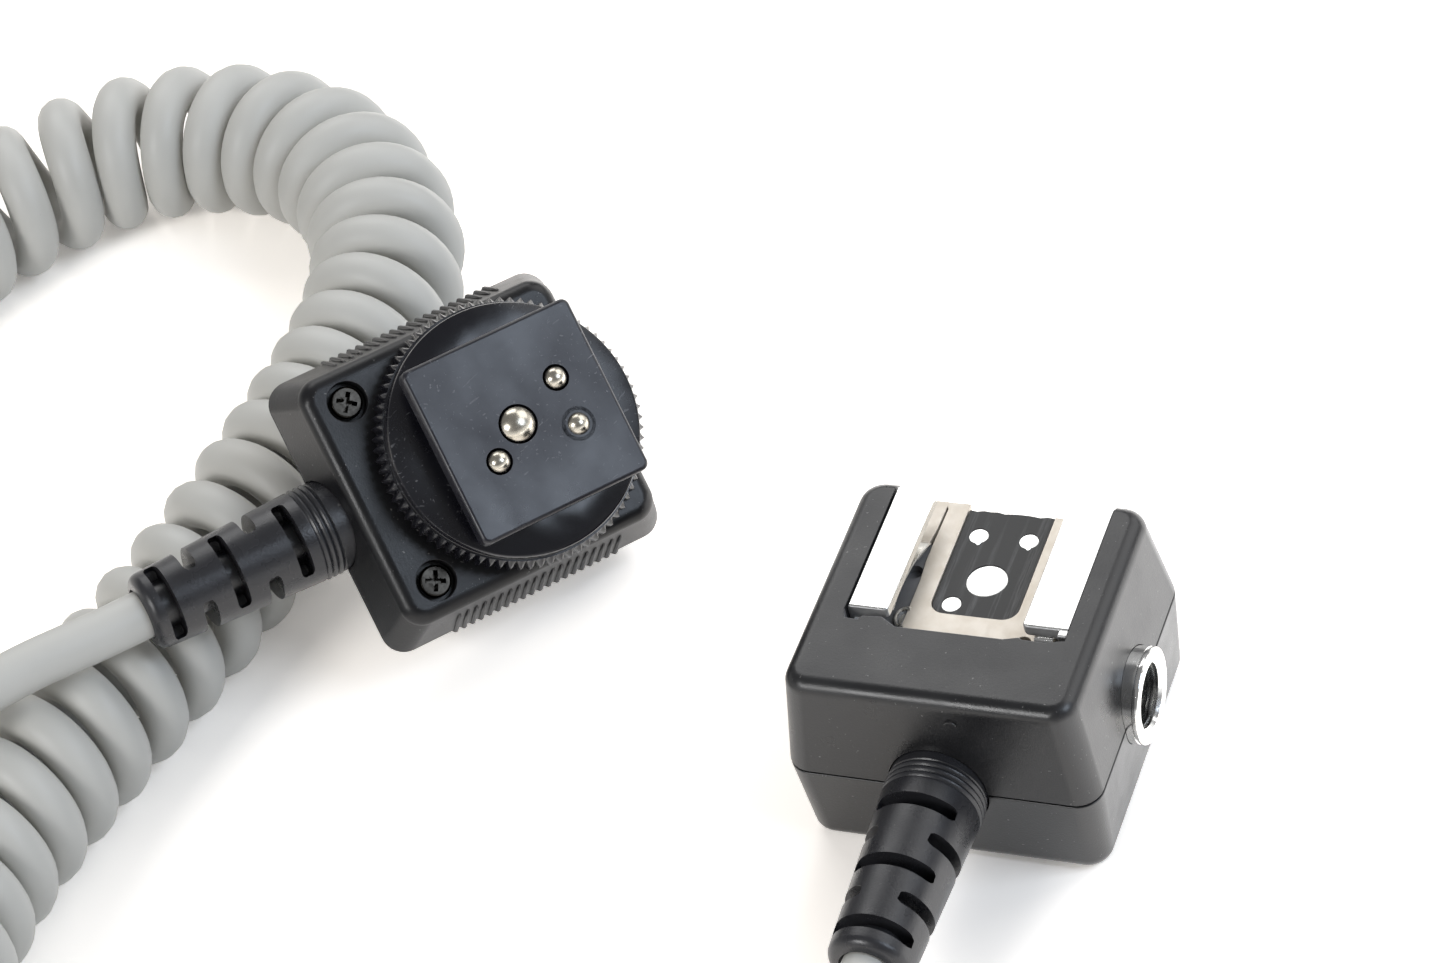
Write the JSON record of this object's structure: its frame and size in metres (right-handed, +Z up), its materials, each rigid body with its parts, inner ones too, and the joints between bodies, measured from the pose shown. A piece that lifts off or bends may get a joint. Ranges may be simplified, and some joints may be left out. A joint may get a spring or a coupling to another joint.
{
  "type": "off-camera flash cord",
  "caption": "Curly grey cord between a black shoe block for a flash and a camera foot unit with sprung contacts and a toothed lock wheel.",
  "frame": {"origin": "mouth of the tripod socket, in the flash block's base", "axes": "+Z up through the flash block, +Y along the shoe away from the cord, +X towards the side terminal; the cord and the camera unit lie on the same surface as the block"},
  "size_m": [0.1912, 0.1774, 0.0354],
  "materials": {
    "casing": "fine grain, satin black",
    "hard_plastic": "glossy black, worn",
    "boot_rubber": "moulded black",
    "cord_jacket": "satin grey jacket",
    "plated_sheet": "plated",
    "spring_steel": "bright",
    "plated_ring": "plated, turned",
    "contact": "polished nickel",
    "insulator": "matte black",
    "board": "green laminate",
    "dark_screw": "dark plated",
    "steel_screw": "plain"
  },
  "bodies": {
    "cord_and_units": {"flash_top_shell": "casing", "flash_bottom_shell": "casing", "shoe_bracket": "plated_sheet", "shoe_leaf_spring": "spring_steel", "shoe_contact_plate": "insulator", "shoe_centre_contact": "contact", "shoe_small_contacts": "contact", "flash_circuit_board": "board", "terminal_collar": "plated_ring", "terminal_insert": "insulator", "terminal_pins": "contact", "tripod_bush": "plated_ring", "flash_case_screws": "dark_screw", "flash_cord_boot": "boot_rubber", "camera_front_shell": "casing", "camera_back_shell": "casing", "mounting_foot": "hard_plastic", "foot_screws": "steel_screw", "centre_pin_spring": "spring_steel", "small_pin_springs": "spring_steel", "camera_contact_board": "board", "camera_case_screws": "dark_screw", "camera_cord_boot": "boot_rubber", "camera_cord_tail": "cord_jacket", "curly_cord": "cord_jacket", "flash_cord_tail": "cord_jacket"},
    "lock_wheel": {"lock_wheel": "hard_plastic"},
    "centre_pin": {"centre_pin": "contact"},
    "near_pin": {"near_pin": "contact"},
    "far_left_pin": {"far_left_pin": "contact"},
    "far_right_pin": {"far_right_pin": "contact"}
  },
  "joints": [
    {"name": "lock_wheel_turn", "type": "hinge", "parent": "cord_and_units", "child": "lock_wheel", "pos_m": [-0.05083, 0.01266, 0.02304], "axis": [0.5904, -0.3888, 0.7073], "range_deg": [0, 360]},
    {"name": "centre_pin_travel", "type": "slide", "parent": "cord_and_units", "child": "centre_pin", "axis": [-0.5904, 0.3888, -0.7073], "range_m": [0, 0.0009], "stiffness_N_per_m": 400, "springref_m": -0.001, "deforming": ["centre_pin_spring"]},
    {"name": "near_pin_travel", "type": "slide", "parent": "cord_and_units", "child": "near_pin", "axis": [-0.5904, 0.3888, -0.7073], "range_m": [0, 0.0007], "stiffness_N_per_m": 300, "springref_m": -0.001, "deforming": ["small_pin_springs"]},
    {"name": "far_left_pin_travel", "type": "slide", "parent": "cord_and_units", "child": "far_left_pin", "axis": [-0.5904, 0.3888, -0.7073], "range_m": [0, 0.0007], "stiffness_N_per_m": 300, "springref_m": -0.001, "deforming": ["small_pin_springs"]},
    {"name": "far_right_pin_travel", "type": "slide", "parent": "cord_and_units", "child": "far_right_pin", "axis": [-0.5904, 0.3888, -0.7073], "range_m": [0, 0.0007], "stiffness_N_per_m": 300, "springref_m": -0.001, "deforming": ["small_pin_springs"]}
  ]
}
